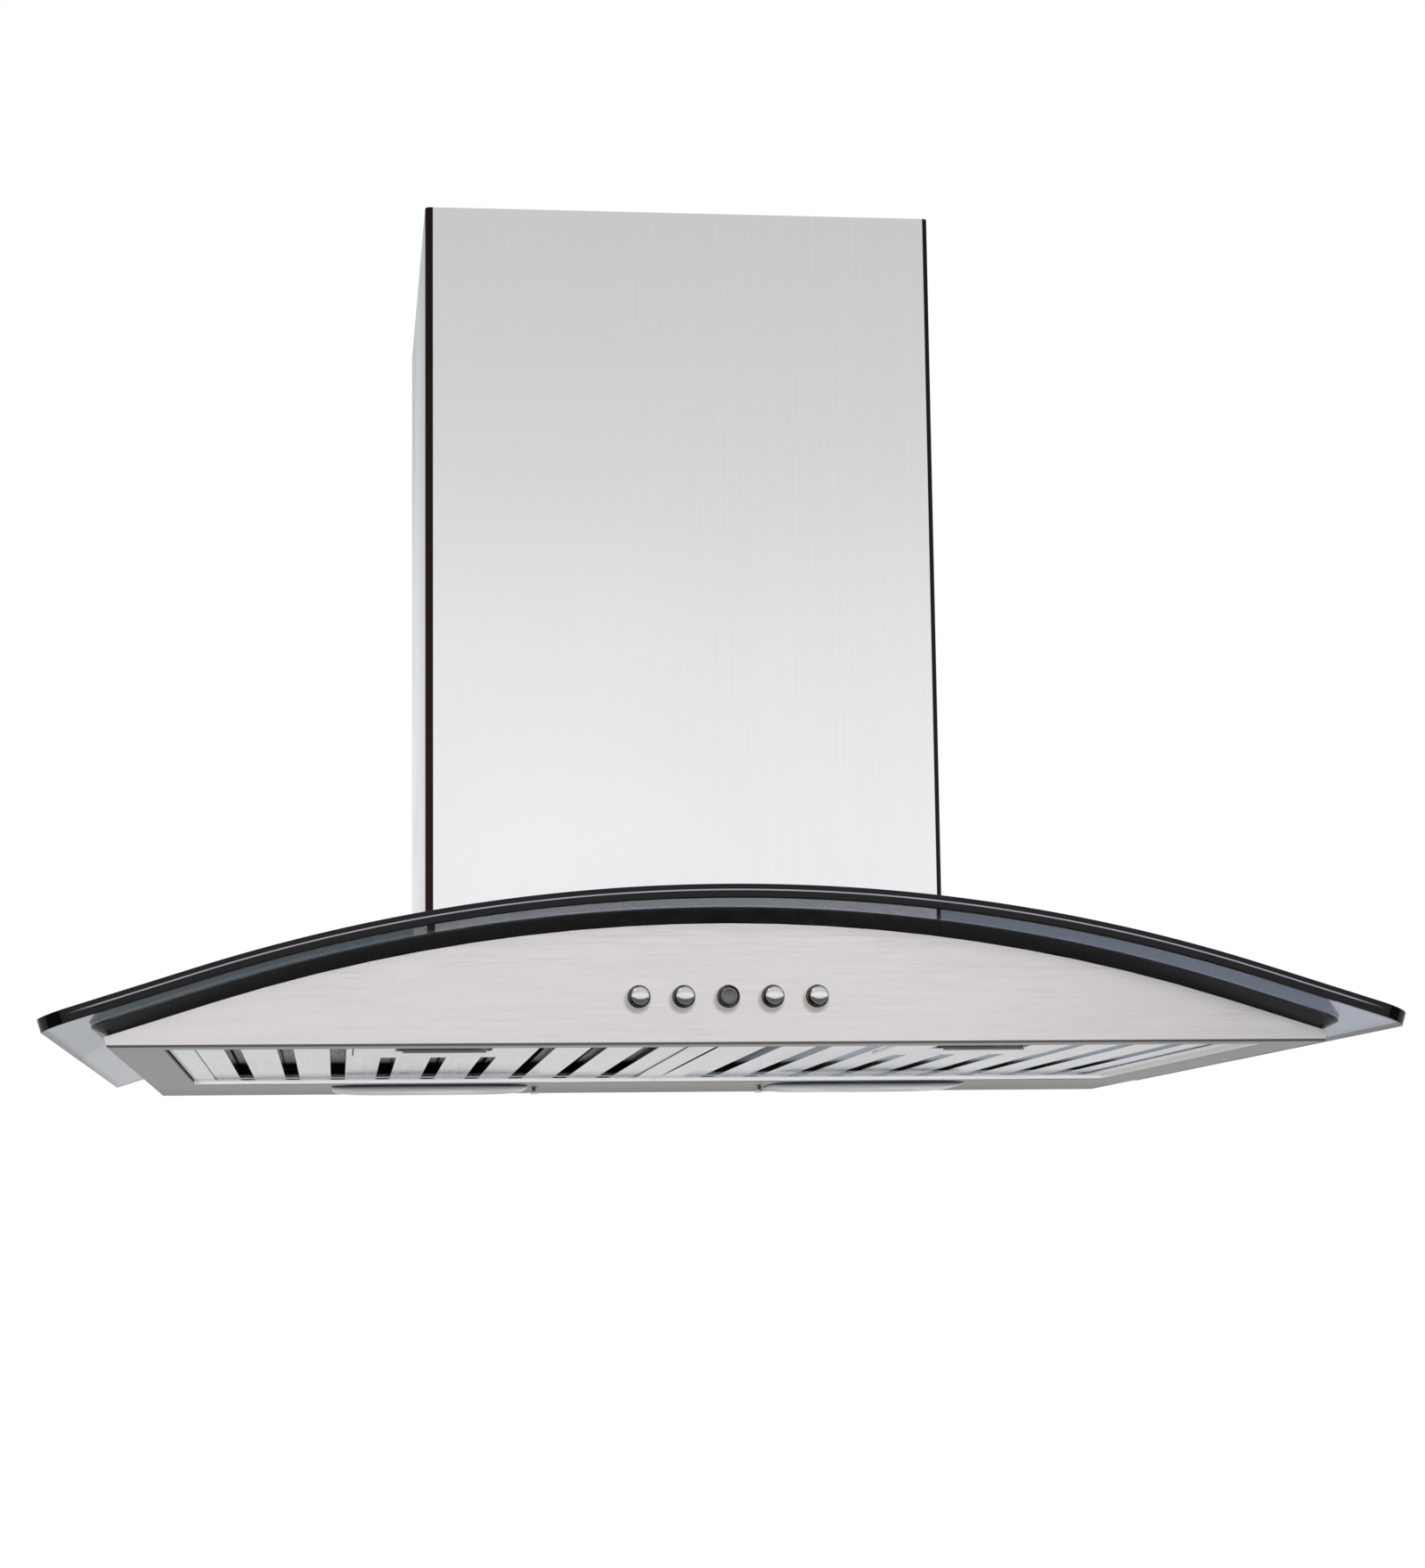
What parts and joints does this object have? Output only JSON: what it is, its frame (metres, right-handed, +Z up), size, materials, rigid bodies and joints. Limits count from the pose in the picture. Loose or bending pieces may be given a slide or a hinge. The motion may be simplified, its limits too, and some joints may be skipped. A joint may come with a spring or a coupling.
{
  "type": "range hood",
  "caption": "Wall chimney range hood with an arched glass canopy, a shallow steel body with baffle filters, push buttons, two lamps, a blower and a telescoping chimney cover",
  "frame": {"origin": "middle of the flat back face of the hood's body, on the wall", "axes": "+X to the right of someone facing the hood, +Y towards the wall, +Z up"},
  "size_m": [0.6, 0.5065, 0.442],
  "materials": {
    "panel_steel": "flat brushed, horizontal grain",
    "body_steel": "satin",
    "polished_aluminium": "polished",
    "chimney_steel": "polished",
    "smoked_glass": "clear, ground edges",
    "black_trim": "satin",
    "chrome": "polished",
    "smoked_lens": "gloss",
    "blue_lens": "frosted translucent",
    "clear_bulb": "clear",
    "galvanised": "galvanised, matt",
    "black_plastic": "matt",
    "white_plastic": "matt",
    "rubber": "matt",
    "spring_steel": "drawn wire",
    "motor_paint": "semi-gloss"
  },
  "bodies": {
    "hood": {"glass_canopy": "smoked_glass", "glass_trim": "black_trim", "glass_pad_left": "rubber", "glass_screw_left_1": "chrome", "glass_screw_left_2": "chrome", "glass_pad_right": "rubber", "glass_screw_right_1": "chrome", "glass_screw_right_2": "chrome", "front_panel": "panel_steel", "canopy_shell": "galvanised", "underside_pan": "body_steel", "control_bezel": "chrome", "switch_block": "black_plastic", "indicator_lens": "smoked_lens", "button_spring_1": "spring_steel", "button_spring_2": "spring_steel", "button_spring_3": "spring_steel", "button_spring_4": "spring_steel", "lamp_housing_left": "galvanised", "lampholder_left": "white_plastic", "bulb_left": "clear_bulb", "lamp_housing_right": "galvanised", "lampholder_right": "white_plastic", "bulb_right": "clear_bulb", "control_module": "black_plastic", "blower_casing": "galvanised", "blower_scroll": "galvanised", "motor": "motor_paint", "motor_bracket": "galvanised", "capacitor": "white_plastic", "outlet_collar": "black_plastic", "cable_gland": "black_plastic", "wall_bracket": "galvanised", "chimney_lower_cover": "chimney_steel"},
    "upper_cover": {"chimney_upper_cover": "chimney_steel"},
    "filter_left": {"filter_frame_left": "polished_aluminium", "lower_baffles_left": "polished_aluminium", "upper_baffles_left": "polished_aluminium", "latch_spring_left": "spring_steel"},
    "filter_right": {"filter_frame_right": "polished_aluminium", "lower_baffles_right": "polished_aluminium", "upper_baffles_right": "polished_aluminium", "latch_spring_right": "spring_steel"},
    "latch_left": {"filter_latch_left": "chrome"},
    "latch_right": {"filter_latch_right": "chrome"},
    "button_1": {"push_button_1": "chrome"},
    "button_2": {"push_button_2": "chrome"},
    "button_3": {"push_button_3": "chrome"},
    "button_4": {"push_button_4": "chrome"},
    "blower_wheel": {"impeller": "galvanised", "motor_shaft": "spring_steel"},
    "flap_front": {"damper_flap_front": "black_plastic"},
    "flap_back": {"damper_flap_back": "black_plastic"},
    "lens_left": {"lamp_lens_left": "blue_lens", "lens_screw_left": "chrome"},
    "lens_right": {"lamp_lens_right": "blue_lens", "lens_screw_right": "chrome"}
  },
  "joints": [
    {"name": "upper_cover_slide", "type": "slide", "parent": "hood", "child": "upper_cover", "axis": [0, 0, 1], "range_m": [0, 0.3]},
    {"name": "filter_left_hinge", "type": "hinge", "parent": "hood", "child": "filter_left", "pos_m": [0, -0.1285, -0.0219], "axis": [1, 0, 0], "range_deg": [0, 70]},
    {"name": "filter_right_hinge", "type": "hinge", "parent": "hood", "child": "filter_right", "pos_m": [0, -0.1285, -0.0219], "axis": [1, 0, 0], "range_deg": [0, 70]},
    {"name": "latch_left_slide", "type": "slide", "parent": "filter_left", "child": "latch_left", "axis": [0, 1, 0], "range_m": [0, 0.008], "stiffness_N_per_m": 300, "springref_m": -0.005, "deforming": ["latch_spring_left"]},
    {"name": "latch_right_slide", "type": "slide", "parent": "filter_right", "child": "latch_right", "axis": [0, 1, 0], "range_m": [0, 0.008], "stiffness_N_per_m": 300, "springref_m": -0.005, "deforming": ["latch_spring_right"]},
    {"name": "button_1_press", "type": "slide", "parent": "hood", "child": "button_1", "axis": [0, 1, 0], "range_m": [0, 0.0025], "stiffness_N_per_m": 400, "springref_m": -0.002, "deforming": ["button_spring_1"]},
    {"name": "button_2_press", "type": "slide", "parent": "hood", "child": "button_2", "axis": [0, 1, 0], "range_m": [0, 0.0025], "stiffness_N_per_m": 400, "springref_m": -0.002, "deforming": ["button_spring_2"]},
    {"name": "button_3_press", "type": "slide", "parent": "hood", "child": "button_3", "axis": [0, 1, 0], "range_m": [0, 0.0025], "stiffness_N_per_m": 400, "springref_m": -0.002, "deforming": ["button_spring_3"]},
    {"name": "button_4_press", "type": "slide", "parent": "hood", "child": "button_4", "axis": [0, 1, 0], "range_m": [0, 0.0025], "stiffness_N_per_m": 400, "springref_m": -0.002, "deforming": ["button_spring_4"]},
    {"name": "blower_wheel_spin", "type": "hinge", "parent": "hood", "child": "blower_wheel", "pos_m": [0, -0.142, 0.1615], "axis": [1, 0, 0], "continuous": true},
    {"name": "flap_front_hinge", "type": "hinge", "parent": "hood", "child": "flap_front", "pos_m": [0, -0.18782, 0.3118], "axis": [-1, 0, 0], "range_deg": [0, 80]},
    {"name": "flap_back_hinge", "type": "hinge", "parent": "hood", "child": "flap_back", "pos_m": [0, -0.17882, 0.3118], "axis": [1, 0, 0], "range_deg": [0, 80]},
    {"name": "lens_left_hinge", "type": "hinge", "parent": "hood", "child": "lens_left", "pos_m": [-0.1758, -0.074, -0.0288], "axis": [0, 1, 0], "range_deg": [0, 75]},
    {"name": "lens_right_hinge", "type": "hinge", "parent": "hood", "child": "lens_right", "pos_m": [0.1758, -0.074, -0.0288], "axis": [0, -1, 0], "range_deg": [0, 75]}
  ]
}
